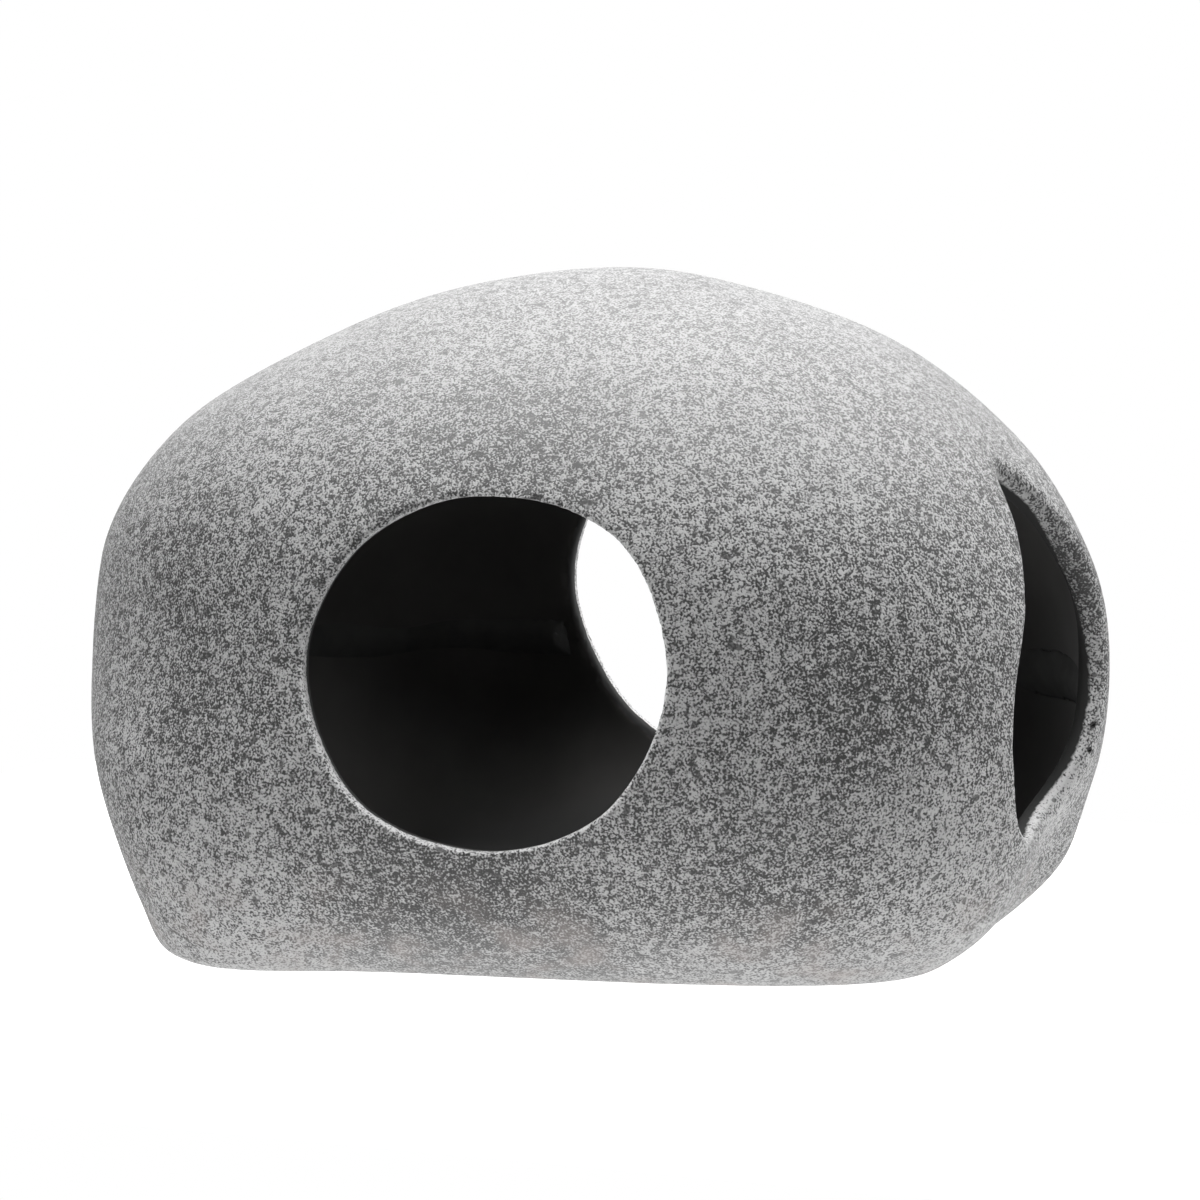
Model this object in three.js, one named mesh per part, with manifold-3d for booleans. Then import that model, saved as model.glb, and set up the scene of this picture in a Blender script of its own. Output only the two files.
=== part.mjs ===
// Hollow stone-shaped cave for an aquarium floor, cast in speckled resin.
// Two cast shells meet on a level parting line with a stepped lap. Three openings cut that line into
// three stretches, and each stretch is sealed from the inside by its own cured bead of adhesive.
//
// Millimetres. +X runs along the cave to its end opening, -Y is the front and +Z is up.
// The origin is on the floor, under the middle of the cave.

import * as THREE from "three";
import { mergeVertices } from "three/addons/utils/BufferGeometryUtils.js";
import Module from "manifold-3d";

const wasm = await Module();
wasm.setup();

// ---- The stone's outer form ----

// The stone is a stack of nearly level rings. An outline, [along, up], stands on a plane turned away
// from the long axis, and each ring is a superellipse, aligned with X, that just reaches the outline
// on both sides.
const OUTLINE_TURN = THREE.MathUtils.degToRad(22);
const OUTLINE = [
  // anticlockwise from the top, round the closed left end, the underside and the end opening
  [2, 104.5], [-25.5, 100], [-50, 89.5], [-66.5, 78.5], [-77, 62.5], [-79, 42], [-76.5, 28],
  [-69.5, 9], [-65.5, -3.5], [-44.5, -6], [-4, -7], [35, -5.5], [55, -2], [72.5, 8],
  [79.5, 25], [78.5, 47.5], [73.5, 64], [63.5, 79], [46, 93], [23, 101.5],
];
const DEPTH_RATIO = 0.755; // a ring's half depth over its reach along the outline's plane
const DOME_POWER = 2.2; // superellipse power of the upper rings: 2 is an ellipse, more is boxier
const BASE_POWER = 3.6; // and of the ring on the floor
const BASE_TAPER = 0.22; // share of the depth that the ring on the floor loses towards the end opening
const BLEND_HEIGHT = 60; // where the base's power and taper have turned into the dome's
const ROLL_HEIGHT = 38; // below this the front and the back roll under
const ROLL_BOTTOM = -7.5; // where the roll would close below the floor
const ROLL_POWER = 3.5;

// A shallow hollow under the end opening, pressed towards the heart of the stone.
const HEART = new THREE.Vector3(0, 0, 46);
const DENT = { at: new THREE.Vector3(74, 10.5, 15), spread: 13, depth: 5 };

// ---- Openings, wall and joint ----

const WALL = 4.2;

// Each opening is a bar cut along its way out. Facing turns the way out from -Y towards +X, in degrees.
// The outline, [across, up], is seen from outside and runs anticlockwise about the opening's middle.
const OPENINGS = {
  front: {
    middle: [5, -56, 48.5],
    facing: 10,
    outline: [
      [27, 0], [19.6, 18.6], [0, 24.8], [-18.9, 17.9],
      [-27.4, 0], [-18.8, -19.2], [0, -25.6], [19.4, -19],
    ],
  },
  back: {
    middle: [4.5, 56, 49.5],
    facing: 190,
    outline: [
      [31, 0], [21.6, 21.2], [0, 30], [-21.6, 21.2],
      [-31, 0], [-21.6, -21.2], [0, -30], [21.6, -21.2],
    ],
  },
  end: {
    middle: [76, -7, 49],
    facing: 90,
    outline: [
      [18.5, -5], [16, 7], [10, 18.5], [0, 25.5], [-8.5, 18], [-14.5, 7],
      [-19, -4], [-19.5, -15], [-13, -24], [0, -24.5], [13, -19],
    ],
  },
};
const REACH_IN = 30; // how far an opening's cutter goes inwards and outwards from its middle
const REACH_OUT = 24;

const PARTING_HEIGHT = 36;
const LAP_HEIGHT = 4; // the lower shell's tongue above the parting line
const GAP = 0.3; // clearance where two pieces meet
const BEAD_WIDTH = 7;
const BEAD_DEPTH = 2;
const BEAD_SETBACK = 2; // the beads stop this far from the openings

// ---- Mesh fineness ----

const RINGS = 30;
const AROUND = 52; // points on a ring
const OPENING_SIDES = 48;
const FAR = 400; // larger than the cave in every direction

// ---- Colours ----

const STONE = { color: 0x8f8e8b, roughness: 0.8, metalness: 0 };
const ADHESIVE = { color: 0x1c1b1a, roughness: 0.5, metalness: 0 };

// ---- Solids and booleans ----

function toSolid(geometry) {
  geometry.deleteAttribute("normal");
  geometry.deleteAttribute("uv");
  const merged = mergeVertices(geometry);
  return new wasm.Manifold(
    new wasm.Mesh({
      numProp: 3,
      vertProperties: Float32Array.from(merged.attributes.position.array),
      triVerts: Uint32Array.from(merged.index.array),
    }),
  );
}

function toMesh(name, solid, finish) {
  const { vertProperties, triVerts } = solid.getMesh();
  const geometry = new THREE.BufferGeometry();
  geometry.setAttribute("position", new THREE.BufferAttribute(vertProperties, 3));
  geometry.setIndex(new THREE.BufferAttribute(triVerts, 1));
  geometry.computeVertexNormals();
  const mesh = new THREE.Mesh(geometry, new THREE.MeshStandardMaterial(finish));
  mesh.name = name;
  return mesh;
}

// A block that fills all space between two heights, and on the wanted side of x and y.
function space({ low = -FAR, high = FAR, left = -FAR, right = FAR, front = -FAR, back = FAR }) {
  const block = new THREE.BoxGeometry(right - left, back - front, high - low);
  block.translate((left + right) / 2, (front + back) / 2, (low + high) / 2);
  return toSolid(block);
}

// ---- The stone ----

const outlineCurve = new THREE.CatmullRomCurve3(
  OUTLINE.map(([along, up]) => new THREE.Vector3(along, 0, up)),
  true,
  "catmullrom",
);

// Power of a sine or cosine that keeps its sign.
function signedPower(value, power) {
  return Math.sign(value) * Math.abs(value) ** power;
}

// One ring, from the top (descent 0) to the underside (descent 1).
function ringAt(descent) {
  const left = outlineCurve.getPoint(descent / 2);
  const right = outlineCurve.getPoint(1 - descent / 2);
  const reach = (right.x - left.x) / 2;
  const height = (right.z + left.z) / 2;

  const domeShare = THREE.MathUtils.smoothstep(height, 0, BLEND_HEIGHT);
  const power = THREE.MathUtils.lerp(BASE_POWER, DOME_POWER, domeShare);
  const drop = THREE.MathUtils.clamp((ROLL_HEIGHT - height) / (ROLL_HEIGHT - ROLL_BOTTOM), 0, 1);
  const depthRatio = DEPTH_RATIO * (1 - drop ** ROLL_POWER) ** (1 / ROLL_POWER);

  // The length that makes an untapered ring's support along the turned plane equal to its reach.
  // The support function of a superellipse has the conjugate power.
  const conjugate = power / (power - 1);
  const depthShare = (depthRatio * Math.sin(OUTLINE_TURN)) ** conjugate;
  const lengthRatio = (1 - depthShare) ** (1 / conjugate) / Math.cos(OUTLINE_TURN);

  return {
    middle: new THREE.Vector3((right.x + left.x) / 2 / Math.cos(OUTLINE_TURN), 0, height),
    halfLength: lengthRatio * reach,
    halfDepth: depthRatio * reach,
    rise: (right.z - left.z) / 2, // of its +X side over its middle
    taper: BASE_TAPER * (1 - domeShare),
    power,
  };
}

function ringPoint(ring, angle) {
  const along = signedPower(Math.cos(angle), 2 / ring.power);
  const across = signedPower(Math.sin(angle), 2 / ring.power);
  const halfDepth = ring.halfDepth * (1 - ring.taper * along);
  const point = new THREE.Vector3(ring.halfLength * along, halfDepth * across, ring.rise * along);
  return pressDent(point.add(ring.middle));
}

function pressDent(point) {
  const inwards = HEART.clone().sub(DENT.at).normalize();
  const fade = Math.exp(-point.distanceToSquared(DENT.at) / (2 * DENT.spread ** 2));
  return point.addScaledVector(inwards, DENT.depth * fade);
}

// The stone's closed skin, with a pole at the top and one under the floor.
function skinGeometry() {
  const points = [ringPoint(ringAt(0), 0)];
  for (let row = 1; row < RINGS; row++) {
    const ring = ringAt(row / RINGS);
    for (let step = 0; step < AROUND; step++) {
      points.push(ringPoint(ring, (2 * Math.PI * step) / AROUND));
    }
  }
  points.push(ringPoint(ringAt(1), 0));
  const coordinates = points.flatMap((point) => point.toArray());

  const triangles = [];
  const lastPole = points.length - 1;
  const vertex = (row, step) => 1 + (row - 1) * AROUND + (step % AROUND);
  for (let step = 0; step < AROUND; step++) {
    triangles.push(0, vertex(1, step), vertex(1, step + 1));
    for (let row = 1; row < RINGS - 1; row++) {
      const [a, b] = [vertex(row, step), vertex(row, step + 1)];
      const [c, d] = [vertex(row + 1, step), vertex(row + 1, step + 1)];
      triangles.push(a, c, d, a, d, b);
    }
    triangles.push(lastPole, vertex(RINGS - 1, step + 1), vertex(RINGS - 1, step));
  }

  const geometry = new THREE.BufferGeometry();
  geometry.setAttribute("position", new THREE.Float32BufferAttribute(coordinates, 3));
  geometry.setIndex(triangles);
  geometry.computeVertexNormals();
  return geometry;
}

// The stone shrunk by a constant distance and cut level at its floor.
function stoneInside(distance) {
  const geometry = skinGeometry();
  const { position, normal } = geometry.attributes;
  const point = new THREE.Vector3();
  const outwards = new THREE.Vector3();
  for (let i = 0; i < position.count; i++) {
    outwards.fromBufferAttribute(normal, i);
    point.fromBufferAttribute(position, i).addScaledVector(outwards, -distance);
    position.setXYZ(i, point.x, point.y, point.z);
  }
  return toSolid(geometry).intersect(space({ low: distance }));
}

// The cutter of an opening, a bar of the opening's outline; margin widens it all round.
function openingCutter({ middle, facing, outline }, margin = 0) {
  const corners = outline.map(([across, up]) => {
    const corner = new THREE.Vector3(across, up, 0);
    return corner.setLength(corner.length() + margin);
  });
  const rim = new THREE.CatmullRomCurve3(corners, true, "catmullrom");
  const section = new THREE.Shape(rim.getPoints(OPENING_SIDES));
  const bar = new THREE.ExtrudeGeometry(section, { depth: REACH_IN + REACH_OUT, bevelEnabled: false });
  bar.translate(0, 0, -REACH_IN);

  const turn = THREE.MathUtils.degToRad(facing);
  const across = new THREE.Vector3(Math.cos(turn), Math.sin(turn), 0);
  const wayOut = new THREE.Vector3(Math.sin(turn), -Math.cos(turn), 0);
  bar.applyMatrix4(new THREE.Matrix4().makeBasis(across, new THREE.Vector3(0, 0, 1), wayOut));
  bar.translate(...middle);
  return toSolid(bar);
}

function cutOpenings(solid, margin = 0) {
  const cutters = Object.values(OPENINGS).map((opening) => openingCutter(opening, margin));
  return cutters.reduce((rest, cutter) => rest.subtract(cutter), solid);
}

// ---- Pieces ----

const hollowStone = cutOpenings(stoneInside(0).subtract(stoneInside(WALL)));

// The lower shell's tongue is the inner half of the wall.
function lowerShell() {
  const body = hollowStone.intersect(space({ high: PARTING_HEIGHT - GAP / 2 }));
  const innerHalf = hollowStone.intersect(stoneInside((WALL + GAP) / 2));
  const tongue = innerHalf.intersect(
    space({ low: PARTING_HEIGHT - LAP_HEIGHT, high: PARTING_HEIGHT + LAP_HEIGHT }),
  );
  return body.add(tongue);
}

function upperShell() {
  const body = hollowStone.intersect(space({ low: PARTING_HEIGHT + GAP / 2 }));
  const rebate = stoneInside((WALL - GAP) / 2).intersect(
    space({ high: PARTING_HEIGHT + LAP_HEIGHT + GAP }),
  );
  return body.subtract(rebate);
}

// A band of adhesive along the inner wall over the tongue's top edge, kept clear of the openings.
function adhesiveBand() {
  const middle = PARTING_HEIGHT + LAP_HEIGHT;
  const band = stoneInside(WALL + GAP)
    .subtract(stoneInside(WALL + GAP + BEAD_DEPTH))
    .intersect(space({ low: middle - BEAD_WIDTH / 2, high: middle + BEAD_WIDTH / 2 }));
  return cutOpenings(band, BEAD_SETBACK);
}

const frontX = OPENINGS.front.middle[0];
const endY = OPENINGS.end.middle[1];
const band = adhesiveBand();
const beads = {
  bond_bead_left: band.intersect(space({ right: frontX })),
  bond_bead_front: band.intersect(space({ left: frontX, back: endY })),
  bond_bead_back: band.intersect(space({ left: frontX, front: endY })),
};

// ---- Assembly ----

const cave = new THREE.Group();
cave.add(toMesh("lower_shell", lowerShell(), STONE));
cave.add(toMesh("upper_shell", upperShell(), STONE));
for (const [name, bead] of Object.entries(beads)) {
  cave.add(toMesh(name, bead, ADHESIVE));
}

// Put the origin on the floor under the middle of the cave.
const middle = new THREE.Box3().setFromObject(cave).getCenter(new THREE.Vector3());
for (const piece of cave.children) {
  piece.position.set(-middle.x, -middle.y, 0);
}

export default cave;
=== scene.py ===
"""Looks of a hollow, stone-shaped resin cave for an aquarium floor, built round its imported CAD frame.

The stone's skin follows the recipe of the CAD model, but as a level set, so that its rims can be
rounded and the marks of casting can be carved into it. The finished body is split along the CAD's
parting line into the two cast shells, and beads of adhesive seal the joint from the inside.
"""

import math
from collections import namedtuple

import bmesh
import bpy
import numpy as np
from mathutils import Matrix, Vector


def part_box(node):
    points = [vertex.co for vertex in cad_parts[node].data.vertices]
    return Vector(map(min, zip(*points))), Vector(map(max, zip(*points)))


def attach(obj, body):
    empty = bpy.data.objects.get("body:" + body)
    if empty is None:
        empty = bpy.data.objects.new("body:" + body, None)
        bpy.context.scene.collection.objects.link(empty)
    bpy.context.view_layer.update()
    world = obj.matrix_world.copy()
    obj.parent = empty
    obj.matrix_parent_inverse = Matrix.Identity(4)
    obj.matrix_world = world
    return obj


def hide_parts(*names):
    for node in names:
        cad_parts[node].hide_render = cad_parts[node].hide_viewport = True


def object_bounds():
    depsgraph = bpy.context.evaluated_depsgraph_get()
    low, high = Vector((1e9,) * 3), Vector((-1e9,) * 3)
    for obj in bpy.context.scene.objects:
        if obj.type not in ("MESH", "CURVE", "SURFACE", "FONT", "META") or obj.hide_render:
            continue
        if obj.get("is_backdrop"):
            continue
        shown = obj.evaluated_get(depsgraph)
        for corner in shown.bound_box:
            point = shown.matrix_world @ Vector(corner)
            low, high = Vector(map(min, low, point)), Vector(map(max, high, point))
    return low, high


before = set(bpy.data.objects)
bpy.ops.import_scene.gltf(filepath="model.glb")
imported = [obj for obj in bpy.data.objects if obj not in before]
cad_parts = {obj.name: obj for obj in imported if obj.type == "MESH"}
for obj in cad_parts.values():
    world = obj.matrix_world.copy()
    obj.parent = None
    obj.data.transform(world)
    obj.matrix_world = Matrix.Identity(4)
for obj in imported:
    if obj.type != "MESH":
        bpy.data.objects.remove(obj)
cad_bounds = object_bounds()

import openvdb as vdb
from mathutils import Vector

MM = 0.001

# ---- The stone's form, in millimetres ----

# Nearly level rings hang on an outline that stands on a plane turned away from the long axis.
OUTLINE_TURN = math.radians(22)
OUTLINE = [
    (2, 104.5), (-25.5, 100), (-50, 89.5), (-66.5, 78.5), (-77, 62.5), (-79, 42), (-76.5, 28),
    (-69.5, 9), (-65.5, -3.5), (-44.5, -6), (-4, -7), (35, -5.5), (55, -2), (72.5, 8),
    (79.5, 25), (78.5, 47.5), (73.5, 64), (63.5, 79), (46, 93), (23, 101.5),
]
DEPTH_RATIO = 0.755
DOME_POWER = 2.2
BASE_POWER = 3.6
BASE_TAPER = 0.22
BLEND_HEIGHT = 60
ROLL_HEIGHT = 38
ROLL_BOTTOM = -7.5
ROLL_POWER = 3.5
HEART = np.array([0, 0, 46])  # which the dents point to
# Hollows (and swellings, of negative depth) of the hand-shaped original: place, spread, depth.
DENTS = [
    ((74, 10.5, 15), 13, 5),
    ((67, 26, 13), 5, -1),
    ((63, 2, 4), 10, 1.6),
    ((-66, -26, 10), 17, 2.8),
    ((-40, -47, 2), 10, -3.5),
]
# Unevenness of the outside, of the slush-cast wall and of the cut rims, as waves: height, size, seed.
OUTSIDE_WAVES = [(0.02, 7, 1), (0.06, 24, 2)]
WALL_WAVES = [(0.25, 9, 3), (0.3, 22, 4)]
RIM_WAVES = [(0.05, 4, 5), (0.08, 11, 6)]

# ---- Openings and wall, in millimetres ----

# Middle, way out in degrees from -Y towards +X, rounding of the outer edge at the left and at the
# right as seen from outside, and outline round the middle.
Opening = namedtuple("Opening", "middle way_out edges outline")
OPENINGS = {
    "front": Opening(
        middle=(5, -56, 48.5),
        way_out=10,
        edges=(1.1, 0.45),
        outline=[
            (27, 0), (19.6, 18.6), (0, 24.8), (-19, 18),
            (-28.2, 0), (-19.3, -19.8), (0, -26.3), (19, -18.8),
        ],
    ),
    "back": Opening(
        middle=(4.5, 56, 49.5),
        way_out=190,
        edges=(0.8, 0.8),
        outline=[
            (31, 0), (21.6, 21.2), (0, 30), (-21.6, 21.2),
            (-31, 0), (-21.6, -21.2), (0, -30), (21.6, -21.2),
        ],
    ),
    "end": Opening(
        middle=(76, -7, 49),
        way_out=90,
        edges=(1.1, 3.0),
        outline=[
            (22, -5), (18, 7), (10, 18.5), (0, 25.5), (-5.6, 17.5), (-11.9, 7),
            (-17, -4), (-18, -15), (-13.5, -25), (1, -28), (16, -22),
        ],
    ),
}
EDGE_CHANGE = (-14, -4)  # across an opening, where its left rounding turns into the right one
REACH_IN = 30  # how far an opening cuts inwards from its middle
WALL = 4.2  # of the floor too
INNER_EDGE = 0.8  # rounding of the openings' inner edges
BASE_EDGE = 1.6  # and of the edge round the flat base
CAVITY_EDGE = 3  # and of the corner between wall and floor inside

# Nicks in the rounded edge of the end opening: place, length, and lean from upright in degrees.
NICKS = [((76, 14.1, 35.5), 1.9, 55), ((75.7, 13.5, 31.7), 1.4, 75)]
NICK_FACING = math.radians(48)  # from -Y towards +X
NICK_HALF_WIDTH = 0.4
NICK_DEPTH = 0.8
# The dark in and round a nick is bare resin and painted shade.
NICK_SHADE = 1.0  # reach of the dark in and round a nick

# ---- Joint and beads of adhesive, in millimetres ----

LAP_HEIGHT = 4
PARTING_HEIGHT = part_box("lower_shell")[1].z / MM - LAP_HEIGHT
BEAD_DEPTH = 0.9
BEAD_WIDTH = 7
BEAD_SINK = 0.4  # how deep its back lies in the wall
BEAD_WIPE = 0.1  # how much of its depth is wiped off
BEAD_SETBACK = 2.5  # between its ends and the openings
BEAD_SLOPE = 0.3  # how fast it gets deeper from its ends
# Waves of its depth and of its height, as above.
BEAD_LUMPS = [(0.12, 6, 7)]
BEAD_WANDER = [(0.3, 8, 8)]

# ---- Fineness of the shapes, with lengths in millimetres ----

RINGS = 200  # of the stone's skin
AROUND = 300  # points of each ring
RIM_STEPS = 720  # points of an opening's outline
STONE_VOXEL = 0.6
BEAD_VOXEL = 0.45
SIDE_MARGIN = 3  # voxels kept free beside the stone
END_MARGIN = 4  # and above and below it
BAND = 9  # how far from the skin its distance is known
MERGING = 0.002  # how readily nearly level faces are merged
COINCIDENT = 0.001  # points this close are joined
NEEDLE = 0.005  # edges this short and faces this slim are dissolved
SHARP_ANGLE = math.radians(50)

# ---- Studio, in metres; all brightness is relative to a white that just burns out ----

CAMERA_AZIMUTH = math.radians(22)
CAMERA_ELEVATION = math.radians(6)
CAMERA_DISTANCE = 0.7
CAMERA_AIM = 0.053  # height above the table
FRAME_WIDTH = 0.186  # what the picture spans at that distance
TABLE_SIZE = (0.35, 0.29)
TABLE_DROP = 0.0001  # just clear of the base
TABLE_GLOW = 1.38
LAMP_AIM = Vector((0, 0, 0.05))
# Each softbox: name, place, size, brightness.
SOFTBOXES = [
    ("ceiling", (0, 0, 0.6), (0.6, 0.5), 5.7),
    ("overhead", (0, 0, 0.32), (0.3, 0.25), 1.5),
    ("high_right", (0.25, 0.1, 0.35), (0.3, 0.3), 3.0),
    ("high_left", (-0.15, -0.25, 0.4), (0.3, 0.2), 4.6),
]
# Lobes of light from afar: degrees from -Y towards +X, degrees up, brightness in the middle.
LOBES = [(135, 8, 2.1), (225, 8, 1.8)]
LOBE_POWER = 6

# ---- Paint and resin ----

# The least and the most brightness of the pale specks, of the dark ground between them, of the bare
# resin, of the adhesive and of the table, and what it comes to in special places, most of them
# painted light and shade.
SPECKS = (0.36, 0.48)
# On top the specks are darker and the ground paler: partly thicker spray, partly a painted sheen.
SPECKS_IN_TOP_SHEEN = 0.325
# Specks on the rims: a painted highlight.
SPECKS_IN_RIM_HIGHLIGHT = 0.65
GROUND = (0.03, 0.055)
# Paler ground on top, partly a painted sheen, and under the base's edge.
GROUND_ON_TOP = 0.13
# In the nicks: bare resin, darkened further as painted shade.
GROUND_SHADED_IN_NICKS = 0.015
RESIN = (0.1, 0.135)
RESIN_WARMTH = (0.02, 0.03)
# Bare resin on one wall inside: painted light.
RESIN_IN_PAINTED_LIGHT = 0.28
# Bare resin on the floor inside: painted shade.
RESIN_SHADED_ON_FLOOR = 0.06
# Bare resin at the rims: painted shade.
RESIN_SHADED_AT_RIMS = 0.035
ADHESIVE = (0.08, 0.11)
TABLE = (0.15, 0.17)
# Pale warm tint, mixed in patches towards the bottom.
LOW_TINT = (0.3, 0.265, 0.25, 1.0)
LOW_TINT_HEIGHTS = (22 * MM, 4 * MM)  # from where it begins down to where it is fullest

# How the paint's thickness varies: size in millimetres, detail and weight of each noise.
SPRAY_NOISES = [(0.33, 0.8, 1), (1.3, 1.5, 0.46), (26, 1.0, 0.12)]
# How much thicker it lies where the stone faces up, partly as a painted sheen, under its base's edge,
# and on rims as a painted highlight.
SPRAY_AND_SHEEN_ON_TOP = 0.02
SPRAY_AT_FOOT = 0.04
SPRAY_IN_RIM_HIGHLIGHT = 0.08
SPECK_LEVELS = (0.64, 0.94)  # thickness from dark ground to pale speck
# Upward tilt of the surface, from the flanks to what counts as top and as foot.
TOP_TILT = (0.3, 0.95)
FOOT_TILT = (-0.45, -0.9)
# Distances from an opening's wall over which rims get a painted highlight outside and painted shade
# inside.
RIM_HIGHLIGHT_DISTANCES = (0.7, 0.1)
RIM_SHADE_DISTANCES = (1.5, 0.3)
SPRAY_END = (2.7, 2.2)  # distance from the hollow where the paint gives way to bare resin
UNDERSIDE = (0.7 * MM, 0.4 * MM)  # height where it does so under the base
PAINT_ROUGHNESS = (0.62, 0.8)  # between specks, and on them
RESIN_ROUGHNESS = 0.95
SHEEN = 0.4
GRAIN = 0.05  # height of the specks in millimetres

# Where the sprayed speckle lies thicker or thinner, partly as painted light and shade: place and reach
# in millimetres, and by how much.
SPRAY_AND_LIGHT_PATCHES = [
    ((58, -46, 47), 20, -0.07),
    ((47, -48, 14), 24, -0.06),
    ((3, -51, 11), 32, -0.11),
    ((3, -46, 82), 22, -0.05),
    ((-38, -56, 12), 24, 0.07),
    ((-42, -52, 54), 28, -0.035),
    ((-40, -57, 38), 18, -0.04),
    ((69, -34, 22), 22, 0.06),
    ((70, -34, 46), 14, -0.04),
    ((66, -8, 74), 16, -0.05),
    ((72, 8, 26), 14, 0.11),
    ((72, 9, 58), 15, -0.1),
]
# Where it reaches deeper into the end opening: place and reach, and by how much, all in millimetres.
DEEP_SPRAY = [((77, 10, 58), 20, 1.7), ((77, 4, 22), 12, 1.5)]
# Where the end opening's reveal doesn't get the painted highlight of the other rims: place and reach in
# millimetres.
UNHIGHLIGHTED_REVEAL = ((74, 10, 60), 26)
# Where the bare resin inside is paler, as painted light: place and reach in millimetres.
PAINTED_LIGHT_WALL = ((66, 20, 30), 30)


def closed_spline(points, share):
    """Points on a closed Catmull-Rom curve, at shares of its way round from 0 to 1."""
    points = np.array(points, float)
    place = np.asarray(share) * len(points)
    index = np.floor(place).astype(int)
    t = (place - index)[..., None]
    a, b, c, d = (points[(index + step) % len(points)] for step in (-1, 0, 1, 2))
    return 0.5 * (
        2 * b + (c - a) * t + (2 * a - 5 * b + 4 * c - d) * t**2 + (3 * b - a - 3 * c + d) * t**3
    )


def smooth_step(low, high, value):
    t = np.clip((value - low) / (high - low), 0, 1)
    return t * t * (3 - 2 * t)


def signed_power(value, power):
    return np.sign(value) * np.abs(value) ** power


def stone_points():
    """Rings of points on the stone's closed skin, from the top to the pole under the floor."""
    descent = np.linspace(0, 1, RINGS + 1)
    left = closed_spline(OUTLINE, descent / 2)
    right = closed_spline(OUTLINE, 1 - descent / 2)
    middle = (left + right) / 2
    half = (right - left) / 2
    height = middle[:, 1:]
    reach, rise = half[:, :1], half[:, 1:]

    dome = smooth_step(0, BLEND_HEIGHT, height)
    power = BASE_POWER + (DOME_POWER - BASE_POWER) * dome
    drop = np.clip((ROLL_HEIGHT - height) / (ROLL_HEIGHT - ROLL_BOTTOM), 0, 1)
    depth_ratio = DEPTH_RATIO * (1 - drop**ROLL_POWER) ** (1 / ROLL_POWER)
    conjugate = power / (power - 1)
    depth_share = (depth_ratio * math.sin(OUTLINE_TURN)) ** conjugate
    length_ratio = (1 - depth_share) ** (1 / conjugate) / math.cos(OUTLINE_TURN)

    angle = np.arange(AROUND) * 2 * math.pi / AROUND
    along = signed_power(np.cos(angle), 2 / power)
    across = signed_power(np.sin(angle), 2 / power)
    taper = 1 - BASE_TAPER * (1 - dome) * along
    points = np.stack([
        middle[:, :1] / math.cos(OUTLINE_TURN) + length_ratio * reach * along,
        depth_ratio * reach * taper * across,
        height + rise * along,
    ], axis=-1)

    for place, spread, depth in DENTS:
        inwards = (HEART - place) / np.linalg.norm(HEART - place)
        fade = np.exp(-((points - place) ** 2).sum(-1) / (2 * spread**2))
        points = points + depth * fade[..., None] * inwards
    return points


def place_in_frame(points):
    """Shifts the stone so that it stands in the middle of the CAD's box."""
    standing = points[points[..., 2] > 0]
    own_middle = (standing.min(0) + standing.max(0)) / 2
    cad_middle = (np.array(cad_bounds[0]) + np.array(cad_bounds[1])) / 2 / MM
    shift = cad_middle - own_middle
    shift[2] = 0
    return points + shift, shift


# ---- Level sets ----

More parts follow.
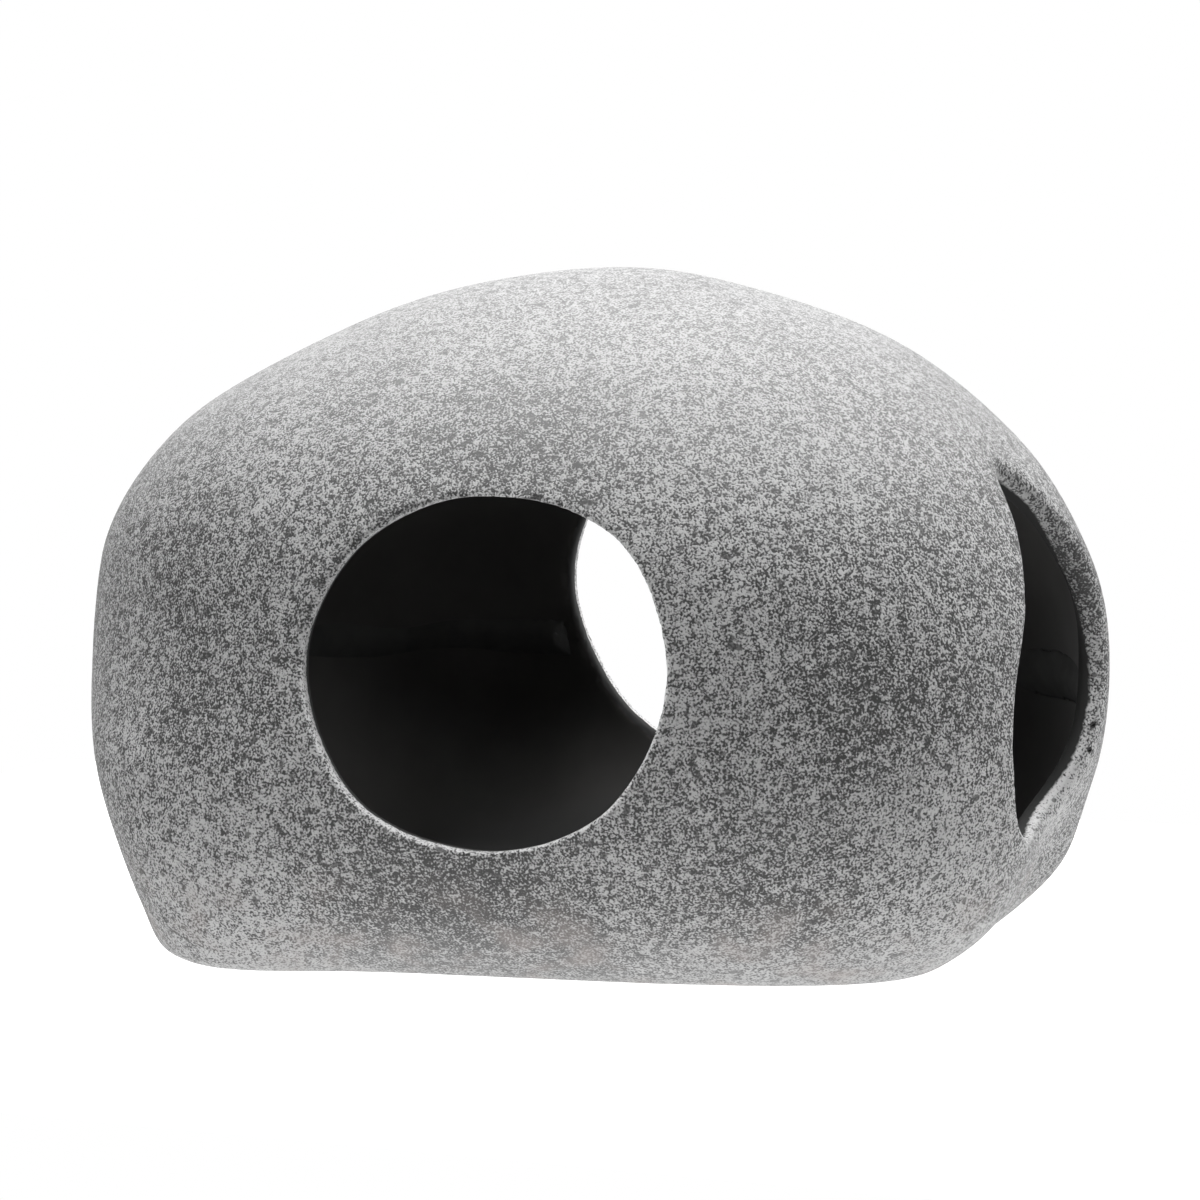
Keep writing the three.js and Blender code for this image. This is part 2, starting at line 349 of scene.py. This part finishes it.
class Block:
    """A block of voxels between two heights, with its distance from the stone's skin."""

    def __init__(self, skin, voxel, low_height, high_height):
        low = skin.reshape(-1, 3).min(0) - SIDE_MARGIN * voxel
        high = skin.reshape(-1, 3).max(0) + SIDE_MARGIN * voxel
        low[2], high[2] = low_height, high_height
        self.voxel = voxel
        self.first = np.floor(low / voxel).astype(int)
        self.counts = np.ceil(high / voxel).astype(int) - self.first + 1
        self.axes = [
            ((self.first[a] + np.arange(self.counts[a])) * voxel).astype(np.float32)
            for a in range(3)
        ]
        self.x, self.y, self.z = np.meshgrid(*self.axes, indexing="ij", sparse=True)
        self.skin = self.distance_from(skin)

    def transform(self):
        return vdb.createLinearTransform(voxelSize=self.voxel)

    def distance_from(self, skin):
        rows, around = skin.shape[:2]
        corner = np.arange(rows - 1)[:, None] * around + np.arange(around)
        after = np.arange(rows - 1)[:, None] * around + (np.arange(around) + 1) % around
        quads = np.stack([corner, corner + around, after + around, after], -1).reshape(-1, 4)
        grid = vdb.FloatGrid.createLevelSetFromPolygons(
            skin.reshape(-1, 3).astype(np.float32),
            quads=quads.astype(np.uint32),
            transform=self.transform(),
            halfWidth=BAND / self.voxel,
        )
        values = np.zeros(self.counts, np.float32)
        grid.copyToArray(values, ijk=tuple(int(i) for i in self.first))
        return values

    def noise(self, cell, seed):
        """A smooth random field of spread 1, with bumps about one cell across, in millimetres."""
        random = np.random.default_rng(seed)
        weights = []
        for axis in self.axes:
            place = (axis - axis[0]) / cell
            knot = np.arange(int(place[-1]) + 4) - 1
            weights.append(cubic_weight(place[:, None] - knot))
        field = random.standard_normal([w.shape[1] for w in weights]).astype(np.float32)
        for weight in weights:
            field = np.tensordot(field, weight.astype(np.float32), axes=(0, 1))
        return field / field.std()

    def waves(self, waves):
        """The sum of random waves, each with its height, size and seed."""
        return sum(height * self.noise(size, seed) for height, size, seed in waves)

    def surface(self, values):
        """Points and faces of the surface where the values pass through zero."""
        grid = vdb.FloatGrid(BAND)
        grid.transform = self.transform()
        values = np.ascontiguousarray(values, np.float32)
        grid.copyFromArray(values, ijk=tuple(int(i) for i in self.first))
        points, triangles, quads = grid.convertToPolygons(isovalue=0, adaptivity=MERGING)
        return points, triangles.tolist() + quads.tolist()

    def sample(self, values, points):
        """The field's value at each point, interpolated between voxels."""
        place = points / self.voxel - self.first
        place = np.clip(place, 0, np.array(self.counts) - 1.001)
        index = place.astype(int)
        share = place - index
        result = np.zeros(len(points))
        for step in np.ndindex(2, 2, 2):
            near = np.prod(np.where(step, share, 1 - share), axis=1)
            i, j, k = (index + step).T
            result += near * values[i, j, k]
        return result


def cubic_weight(offset):
    """Cubic B-spline weight of a knot at an offset, in cells."""
    offset = np.abs(offset)
    near = 2 / 3 - offset**2 + offset**3 / 2
    far = np.maximum(2 - offset, 0) ** 3 / 6
    return np.where(offset < 1, near, far)


def rounded_overlap(a, b, radius):
    """Distance to what two bodies share, from their own distances, with the edge rounded."""
    beyond = np.hypot(np.maximum(a + radius, 0), np.maximum(b + radius, 0))
    return np.minimum(np.maximum(a, b), -radius) + beyond


def opening_axes(block, shift, opening):
    """Across (rightwards as seen from outside), upwards and outwards from an opening's middle."""
    middle = np.array(opening.middle) + shift
    turn = math.radians(opening.way_out)
    dx, dy, dz = block.x - middle[0], block.y - middle[1], block.z - middle[2]
    across = dx * math.cos(turn) + dy * math.sin(turn)
    way_out = dx * math.sin(turn) - dy * math.cos(turn)
    return across, dz, way_out


def opening_distance(block, shift, opening):
    """Distance from the wall of an opening, negative inside the opening."""
    across, up, way_out = opening_axes(block, shift, opening)
    rim = closed_spline(opening.outline, np.arange(RIM_STEPS) / RIM_STEPS)
    angle = np.unwrap(np.arctan2(rim[:, 1], rim[:, 0]))
    radius = np.hypot(rim[:, 0], rim[:, 1])
    slope = np.gradient(radius, angle) / radius
    here = np.arctan2(up, across)
    rim_radius = np.interp(here, angle, radius, period=2 * math.pi)
    rim_slope = np.interp(here, angle, slope, period=2 * math.pi)
    away = (np.hypot(across, up) - rim_radius) / np.hypot(1, rim_slope)
    return np.maximum(away, -REACH_IN - way_out).astype(np.float32)


def edge_rounding(block, shift, opening):
    """The radius of an opening's outer edge, changing from its left to its right."""
    across = opening_axes(block, shift, opening)[0]
    left, right = opening.edges
    return (left + (right - left) * smooth_step(*EDGE_CHANGE, across)).astype(np.float32)


# ---- Solids ----

def add_object(name, data):
    made = bpy.data.objects.new(name, data)
    bpy.context.scene.collection.objects.link(made)
    return made


def add_body(name, points, faces):
    """An object with this surface, from points in millimetres."""
    mesh = bpy.data.meshes.new(name)
    mesh.from_pydata(points * MM, [], faces)
    mesh.validate()
    mesh.update()
    return add_object(name, mesh)


def slab(name, low_height, high_height):
    """A block wider than the stone between two heights, in millimetres."""
    far = 2 * (cad_bounds[1] - cad_bounds[0]).length / MM
    corners = np.array([
        (x, y, z) for z in (low_height, high_height) for y in (-far, far) for x in (-far, far)
    ], float)
    faces = [(0, 2, 3, 1), (4, 5, 7, 6), (0, 1, 5, 4), (2, 6, 7, 3), (0, 4, 6, 2), (1, 3, 7, 5)]
    return add_body(name, corners, faces)


def nick_cutter(place, length, lean):
    """A long, slim octahedron that cuts a V-shaped nick into the edge."""
    lean = math.radians(lean)
    outwards = np.array([math.sin(NICK_FACING), -math.cos(NICK_FACING), 0])
    sideways = np.array([math.cos(NICK_FACING), math.sin(NICK_FACING), 0])
    upwards = np.array([0, 0, 1])
    along = (upwards * math.cos(lean) + sideways * math.sin(lean)) * length / 2
    across = (upwards * math.sin(lean) - sideways * math.cos(lean)) * NICK_HALF_WIDTH
    tips = (along, across, outwards * NICK_DEPTH)
    corners = [sign * tip for tip in tips for sign in (1, -1)]
    faces = [(0, 2, 4), (2, 1, 4), (1, 3, 4), (3, 0, 4), (2, 0, 5), (1, 2, 5), (3, 1, 5), (0, 3, 5)]
    return add_body("nick", np.array(place) + corners, faces)


def combined(name, base, *steps):
    """A new object: the base after each (operation, object) of the steps."""
    for operation, other in steps:
        modifier = base.modifiers.new(operation, "BOOLEAN")
        modifier.operation = operation
        modifier.solver = "MANIFOLD"
        modifier.object = other
    shape = base.evaluated_get(bpy.context.evaluated_depsgraph_get())
    mesh = bpy.data.meshes.new_from_object(shape)
    mesh.materials.clear()
    base.modifiers.clear()
    return add_object(name, mesh)


def discard(*objects):
    for extra in objects:
        bpy.data.objects.remove(extra)


def cave_fields(block, shift):
    """The hollow, opened stone, and what its surface is made of, as fields on the block."""
    outside = block.skin + block.waves(OUTSIDE_WAVES)
    inside = outside + WALL + block.waves(WALL_WAVES)
    cavity = rounded_overlap(inside, WALL - block.z, CAVITY_EDGE)

    solid = rounded_overlap(outside, -block.z, BASE_EDGE)
    wobble = block.waves(RIM_WAVES)
    rims = np.full(block.counts, BAND, np.float32)
    for opening in OPENINGS.values():
        hole = opening_distance(block, shift, opening) + wobble
        solid = rounded_overlap(solid, -hole, edge_rounding(block, shift, opening))
        rims = np.minimum(rims, hole)
    cave = rounded_overlap(solid, -cavity, INNER_EDGE)
    return cave, cavity, rims


def lower_side(block):
    """All that lies below the joint, with the inner half of the wall as the lower shell's tongue."""
    core = add_body("core", *block.surface(block.skin + WALL / 2))
    below_tongue = slab("below_tongue", -BAND, PARTING_HEIGHT + LAP_HEIGHT)
    below_parting = slab("below_parting", -BAND, PARTING_HEIGHT)
    side = combined("lower_side", core, ("INTERSECT", below_tongue), ("UNION", below_parting))
    discard(core, below_tongue, below_parting)
    return side


def build_shells(skin, shift):
    """The nicked cave, split at the joint."""
    margin = END_MARGIN * STONE_VOXEL
    block = Block(skin, STONE_VOXEL, -margin, cad_bounds[1].z / MM + margin)
    cave, cavity, rims = cave_fields(block, shift)
    smooth = add_body("smooth", *block.surface(cave))
    nicks = [nick_cutter(*nick) for nick in NICKS]
    whole = combined("whole", smooth, *(("DIFFERENCE", nick) for nick in nicks))
    side = lower_side(block)
    lower = combined("resin_lower_shell", whole, ("INTERSECT", side))
    upper = combined("resin_upper_shell", whole, ("DIFFERENCE", side))
    discard(smooth, *nicks, whole, side)
    for shell in (lower, upper):
        clean(shell.data)
        points = vertex_points(shell.data)
        store(shell.data, "from_hollow", block.sample(cavity, points))
        store(shell.data, "rim", block.sample(rims, points))
        shell.data.shade_smooth()
        shell.data.set_sharp_from_angle(angle=SHARP_ANGLE)
    return lower, upper


def clean(mesh):
    """Joins points that all but coincide, and splits the wide flat faces into triangles."""
    shape = bmesh.new()
    shape.from_mesh(mesh)
    bmesh.ops.remove_doubles(shape, verts=shape.verts, dist=COINCIDENT * MM)
    bmesh.ops.dissolve_degenerate(shape, edges=shape.edges, dist=NEEDLE * MM)
    wide = [face for face in shape.faces if len(face.verts) > 4]
    bmesh.ops.triangulate(shape, faces=wide, ngon_method="BEAUTY")
    shape.to_mesh(mesh)
    shape.free()


def vertex_points(mesh):
    """The mesh's vertices, in millimetres."""
    points = np.empty(len(mesh.vertices) * 3)
    mesh.vertices.foreach_get("co", points)
    return points.reshape(-1, 3) / MM


def store(mesh, name, values):
    attribute = mesh.attributes.new(name, "FLOAT", "POINT")
    attribute.data.foreach_set("value", values.astype(np.float32))


def build_beads(skin, shift):
    """The three stretches of adhesive, split at the openings."""
    middle = PARTING_HEIGHT + LAP_HEIGHT
    block = Block(skin, BEAD_VOXEL, middle - BEAD_WIDTH, middle + BEAD_WIDTH)
    # Proud of the wall in the middle, and wiped out thin towards its edges and ends.
    lumps = block.waves(BEAD_LUMPS)
    height = np.abs(block.z - middle + block.waves(BEAD_WANDER)) / (BEAD_WIDTH / 2)
    proud = BEAD_DEPTH * (1 - height**2) + lumps - BEAD_WIPE
    for opening in OPENINGS.values():
        hole = opening_distance(block, shift, opening)
        proud = np.minimum(proud, (hole - BEAD_SETBACK) * BEAD_SLOPE)
    bead = np.maximum(-(block.skin + WALL + proud), block.skin + WALL - BEAD_SINK)

    whole = add_body("beads", *block.surface(bead))
    front_x = OPENINGS["front"].middle[0] + shift[0]
    end_y = OPENINGS["end"].middle[1] + shift[1]
    beads = {
        "bond_bead_left": part_of(whole, lambda x, y: x < front_x),
        "bond_bead_front": part_of(whole, lambda x, y: x >= front_x and y < end_y),
        "bond_bead_back": part_of(whole, lambda x, y: x >= front_x and y >= end_y),
    }
    discard(whole)
    for name, bead in beads.items():
        bead.name = f"adhesive_{name}"
        bead.data.shade_smooth()
    return beads


def loose_parts(shape):
    """Sets of faces that hang together."""
    waiting = set(shape.faces)
    while waiting:
        part, front = set(), [waiting.pop()]
        while front:
            face = front.pop()
            part.add(face)
            around = {other for edge in face.edges for other in edge.link_faces} & waiting
            waiting -= around
            front.extend(around)
        yield part


def part_of(whole, chosen):
    """A copy of the largest loose part of an object that lies where chosen."""
    shape = bmesh.new()
    shape.from_mesh(whole.data)
    candidates = []
    for part in loose_parts(shape):
        middle = next(iter(part)).calc_center_median() / MM
        if chosen(middle.x, middle.y):
            candidates.append(part)
    largest = max(candidates, key=len)
    others = [face for face in shape.faces if face not in largest]
    bmesh.ops.delete(shape, geom=others, context="FACES")
    mesh = bpy.data.meshes.new("part")
    shape.to_mesh(mesh)
    shape.free()
    return add_object("part", mesh)


# ---- Materials ----

class NodeTree:
    """A node tree under construction, with short calls for its nodes."""

    def __init__(self, tree):
        self.tree = tree

    def node(self, kind, inputs=None, **settings):
        made = self.tree.nodes.new(kind)
        for key, value in settings.items():
            setattr(made, key, value)
        for key, value in (inputs or {}).items():
            self.feed(made.inputs[key], value)
        return made

    def feed(self, socket, value):
        if isinstance(value, bpy.types.NodeSocket):
            self.tree.links.new(value, socket)
        else:
            socket.default_value = value

    def math(self, operation, a, b=0.0):
        made = self.node("ShaderNodeMath", {0: a, 1: b}, operation=operation)
        return made.outputs["Value"]

    def sum(self, first, *weighted):
        """The first value plus each (value, weight) of the others."""
        for value, weight in weighted:
            first = self.math("ADD", first, self.math("MULTIPLY", value, weight))
        return first

    def ramp(self, value, low, high, to_low=0.0, to_high=1.0):
        """The value's place between low and high, as a smooth step from to_low to to_high."""
        inputs = {"Value": value, "From Min": low, "From Max": high}
        inputs |= {"To Min": to_low, "To Max": to_high}
        made = self.node("ShaderNodeMapRange", inputs, interpolation_type="SMOOTHSTEP")
        return made.outputs["Result"]


class Shader(NodeTree):
    """A material under construction."""

    def __init__(self, name):
        self.material = bpy.data.materials.new(name)
        self.material.use_nodes = True
        super().__init__(self.material.node_tree)

    def finished(self, inputs):
        """The material, with these values on its surface's sockets."""
        surface = self.tree.nodes["Principled BSDF"]
        for name, value in inputs.items():
            self.feed(surface.inputs[name], value)
        return self.material

    def position(self):
        return self.node("ShaderNodeTexCoord").outputs["Object"]

    def height(self):
        return self.node("ShaderNodeSeparateXYZ", {0: self.position()}).outputs["Z"]

    def upwards(self):
        """How far the surface faces upwards, from -1 to 1."""
        normal = self.node("ShaderNodeNewGeometry").outputs["Normal"]
        return self.node("ShaderNodeSeparateXYZ", {0: normal}).outputs["Z"]

    def attribute(self, name):
        return self.node("ShaderNodeAttribute", attribute_name=name).outputs["Fac"]

    def near(self, place_mm, reach_mm):
        """1 at a place on the stone, fading to 0 at some distance from it."""
        place = Vector(place_mm) * MM
        made = self.node("ShaderNodeVectorMath", {0: self.position(), 1: place}, operation="DISTANCE")
        return self.ramp(made.outputs["Value"], reach_mm * MM, 0)

    def noise(self, size_mm, detail=0.0):
        inputs = {"Vector": self.position(), "Scale": 1 / (size_mm * MM), "Detail": detail}
        return self.node("ShaderNodeTexNoise", inputs).outputs["Fac"]

    def mix(self, share, a, b):
        inputs = {"Factor": share, "A": a, "B": b}
        return self.node("ShaderNodeMix", inputs, data_type="RGBA").outputs["Result"]

    def between(self, greys, size_mm, detail=2.0):
        """A grey that wanders between two of them, in patches of a size."""
        return self.mix(self.noise(size_mm, detail), grey(greys[0]), grey(greys[1]))

    def bump(self, height, depth_mm):
        inputs = {"Height": height, "Distance": depth_mm * MM, "Strength": 1.0}
        return self.node("ShaderNodeBump", inputs).outputs["Normal"]


def grey(value, warmth=0.0):
    return (value * (1 + warmth), value, value * (1 - warmth), 1.0)


def spray_level(s, top, foot, rim):
    """How thickly the paint lies, in specks, in blotches of specks and in wide patches, with painted
    sheen, highlights, light and shade.
    """
    noises = [(s.noise(size, detail), weight) for size, detail, weight in SPRAY_NOISES]
    zones = [(top, SPRAY_AND_SHEEN_ON_TOP), (foot, SPRAY_AT_FOOT), (rim, SPRAY_IN_RIM_HIGHLIGHT)]
    # Wide patches: partly uneven spray, partly painted light and shade.
    patches = [(s.near(place, reach), weight) for place, reach, weight in SPRAY_AND_LIGHT_PATCHES]
    return s.sum(0.0, *noises, *zones, *patches)


def painted_color(s, speckle, top, foot, rim):
    """Pale specks on a dark ground, with a painted sheen on top, painted highlights on the rims, nicks
    darkened by bare resin and painted shade, and pale warm patches low down.
    """
    light = s.between(SPECKS, 5)
    # Darker specks and paler ground on top, partly a painted sheen.
    light = s.mix(top, light, grey(SPECKS_IN_TOP_SHEEN))
    # Painted highlight on the rims.
    light = s.mix(rim, light, grey(SPECKS_IN_RIM_HIGHLIGHT))
    dark = s.between(GROUND, 4, detail=1.0)
    dark = s.mix(s.math("MAXIMUM", top, foot), dark, grey(GROUND_ON_TOP))
    color = s.mix(speckle, dark, light)
    # Nicks: bare resin, darkened further as painted shade in and round them.
    for place, _, _ in NICKS:
        in_nick = s.ramp(s.near(place, NICK_SHADE), 0.35, 0.65)
        color = s.mix(in_nick, color, grey(GROUND_SHADED_IN_NICKS))
    tinted = s.ramp(s.noise(9, detail=2.0), 0.45, 0.75, 0, 0.5)
    low = s.ramp(s.height(), *LOW_TINT_HEIGHTS)
    return s.mix(s.math("MULTIPLY", tinted, low), color, LOW_TINT)


def resin_color(s, top):
    """Bare resin with a trace of warmth, with painted light on one wall, and painted shade at the rims
    and on the floor.
    """
    least, most = (grey(value, warmth) for value, warmth in zip(RESIN, RESIN_WARMTH))
    color = s.mix(s.noise(7, detail=3.0), least, most)
    # Painted light on one wall inside.
    color = s.mix(s.near(*PAINTED_LIGHT_WALL), color, grey(RESIN_IN_PAINTED_LIGHT))
    # Painted shade on the faces inside that look up.
    color = s.mix(top, color, grey(RESIN_SHADED_ON_FLOOR))
    # Painted shade on the bare resin near the rims.
    return s.mix(s.ramp(s.attribute("rim"), *RIM_SHADE_DISTANCES), color, grey(RESIN_SHADED_AT_RIMS))


def unpainted_share(s):
    """1 inside and underneath, where the spray didn't reach, with a ragged edge."""
    ragged = s.noise(1.2, detail=2.0)
    underside = s.ramp(s.sum(s.height(), (ragged, 0.4 * MM)), *UNDERSIDE)
    depth = s.sum(s.attribute("from_hollow"), (ragged, 1.0))
    for place, reach, further in DEEP_SPRAY:
        depth = s.sum(depth, (s.near(place, reach), further))
    return s.math("MAXIMUM", s.ramp(depth, *SPRAY_END), underside)


def stone_material():
    """Pale speckle sprayed over dark grey resin outside and bare resin inside, with painted light and
    shade.
    """
    s = Shader("speckled_stone")
    top = s.ramp(s.upwards(), *TOP_TILT)
    foot = s.ramp(s.upwards(), *FOOT_TILT)
    # Painted highlight along the openings' rims, left off the end opening's reveal.
    away_from_reveal = s.math("SUBTRACT", 1.0, s.near(*UNHIGHLIGHTED_REVEAL))
    rim = s.math("MULTIPLY", s.ramp(s.attribute("rim"), *RIM_HIGHLIGHT_DISTANCES), away_from_reveal)

    speckle = s.ramp(spray_level(s, top, foot, rim), *SPECK_LEVELS)
    blots = s.ramp(s.noise(1.5, detail=1.0), 0.635, 0.72, 0, 0.8)
    speckle = s.math("MULTIPLY", speckle, s.math("SUBTRACT", 1.0, blots))
    outside = painted_color(s, speckle, top, foot, rim)
    unpainted = unpainted_share(s)
    dullness = s.math("MULTIPLY", unpainted, RESIN_ROUGHNESS)
    grains = s.math("MULTIPLY", speckle, s.math("SUBTRACT", 1.0, unpainted))
    return s.finished({
        "Base Color": s.mix(unpainted, outside, resin_color(s, top)),
        "Roughness": s.math("MAXIMUM", s.ramp(speckle, 0, 1, *PAINT_ROUGHNESS), dullness),
        "Specular IOR Level": SHEEN,
        "Normal": s.bump(grains, GRAIN),
    })


def adhesive_material():
    """Cured epoxy, about as dark and dull as the resin beside it."""
    s = Shader("dark_adhesive")
    return s.finished({
        "Base Color": s.between(ADHESIVE, 3),
        "Roughness": s.ramp(s.noise(2, detail=2.0), 0.3, 0.7, 0.8, 0.95),
        "Normal": s.bump(s.noise(1.5, detail=2.0), 0.05),
    })


def floor_material():
    """White acrylic of a light table, lit from below."""
    s = Shader("light_table")
    return s.finished({
        "Base Color": s.between(TABLE, 40),
        "Roughness": 0.9,
        "Emission Color": grey(1.0),
        "Emission Strength": TABLE_GLOW,
    })


# ---- Stage ----

def direction(azimuth, elevation):
    """A unit vector, from angles in radians: from -Y towards +X, and upwards."""
    return Vector((
        math.sin(azimuth) * math.cos(elevation),
        -math.cos(azimuth) * math.cos(elevation),
        math.sin(elevation),
    ))


def add_floor():
    """The top of a light table, which ends a little beyond the stone."""
    x, y = (side / 2 for side in TABLE_SIZE)
    z = -TABLE_DROP
    mesh = bpy.data.meshes.new("floor")
    mesh.from_pydata([(-x, -y, z), (x, -y, z), (x, y, z), (-x, y, z)], [], [(0, 1, 2, 3)])
    mesh.materials.append(floor_material())
    add_object("floor", mesh)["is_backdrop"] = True


def add_camera(shift):
    """Looks at the stone from the front, turned to its end opening and slightly from above."""
    away = direction(CAMERA_AZIMUTH, CAMERA_ELEVATION)
    aim = Vector((shift[0] * MM, shift[1] * MM, CAMERA_AIM))
    camera = add_object("camera", bpy.data.cameras.new("camera"))
    camera.location = aim + away * CAMERA_DISTANCE
    camera.rotation_euler = away.to_track_quat("Z", "Y").to_euler()
    camera.data.sensor_width = 36
    camera.data.lens = camera.data.sensor_width * CAMERA_DISTANCE / FRAME_WIDTH
    camera.data.clip_start = 0.01
    bpy.context.scene.camera = camera


def add_softbox(name, place, size, radiance):
    """A rectangle of light, turned to the stone."""
    lamp = bpy.data.lights.new(name, "AREA")
    lamp.shape = "RECTANGLE"
    lamp.size, lamp.size_y = size
    lamp.energy = math.pi * size[0] * size[1] * radiance
    box = add_object(name, lamp)
    box.location = place
    box.rotation_euler = (Vector(place) - LAMP_AIM).to_track_quat("Z", "Y").to_euler()
    box.visible_camera = False


def add_world():
    """White for the camera, and otherwise dark but for soft lobes of light."""
    world = bpy.data.worlds.new("studio")
    world.use_nodes = True
    bpy.context.scene.world = world
    sky = NodeTree(world.node_tree)
    looking = sky.node("ShaderNodeTexCoord").outputs["Generated"]
    light = 0.0
    for azimuth, elevation, strength in LOBES:
        middle = direction(math.radians(azimuth), math.radians(elevation))
        facing = sky.node("ShaderNodeVectorMath", {0: looking, 1: middle}, operation="DOT_PRODUCT")
        lobe = sky.math("POWER", sky.math("MAXIMUM", facing.outputs["Value"]), LOBE_POWER)
        light = sky.sum(light, (lobe, strength))

    for_camera = sky.node("ShaderNodeLightPath").outputs["Is Camera Ray"]
    choice = sky.node("ShaderNodeMix", {"Factor": for_camera, "A": light, "B": 1.0})
    background = world.node_tree.nodes["Background"]
    sky.feed(background.inputs["Color"], grey(1.0))
    sky.feed(background.inputs["Strength"], choice.outputs["Result"])


# ---- The whole scene ----

skin, shift = place_in_frame(stone_points())
add_camera(shift)
add_floor()
add_world()
for softbox in SOFTBOXES:
    add_softbox(*softbox)
bpy.context.scene.view_settings.view_transform = "Standard"

stone = stone_material()
lower_shell, upper_shell = build_shells(skin, shift)
for piece, node in ((lower_shell, "lower_shell"), (upper_shell, "upper_shell")):
    piece.data.materials.append(stone)
    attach(piece, "root")
    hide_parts(node)

adhesive = adhesive_material()
for node, piece in build_beads(skin, shift).items():
    piece.data.materials.append(adhesive)
    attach(piece, "root")
    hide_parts(node)

boxes = {"cad": cad_bounds, "visual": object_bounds()}
{name: [list(corner) for corner in box] for name, box in boxes.items()}
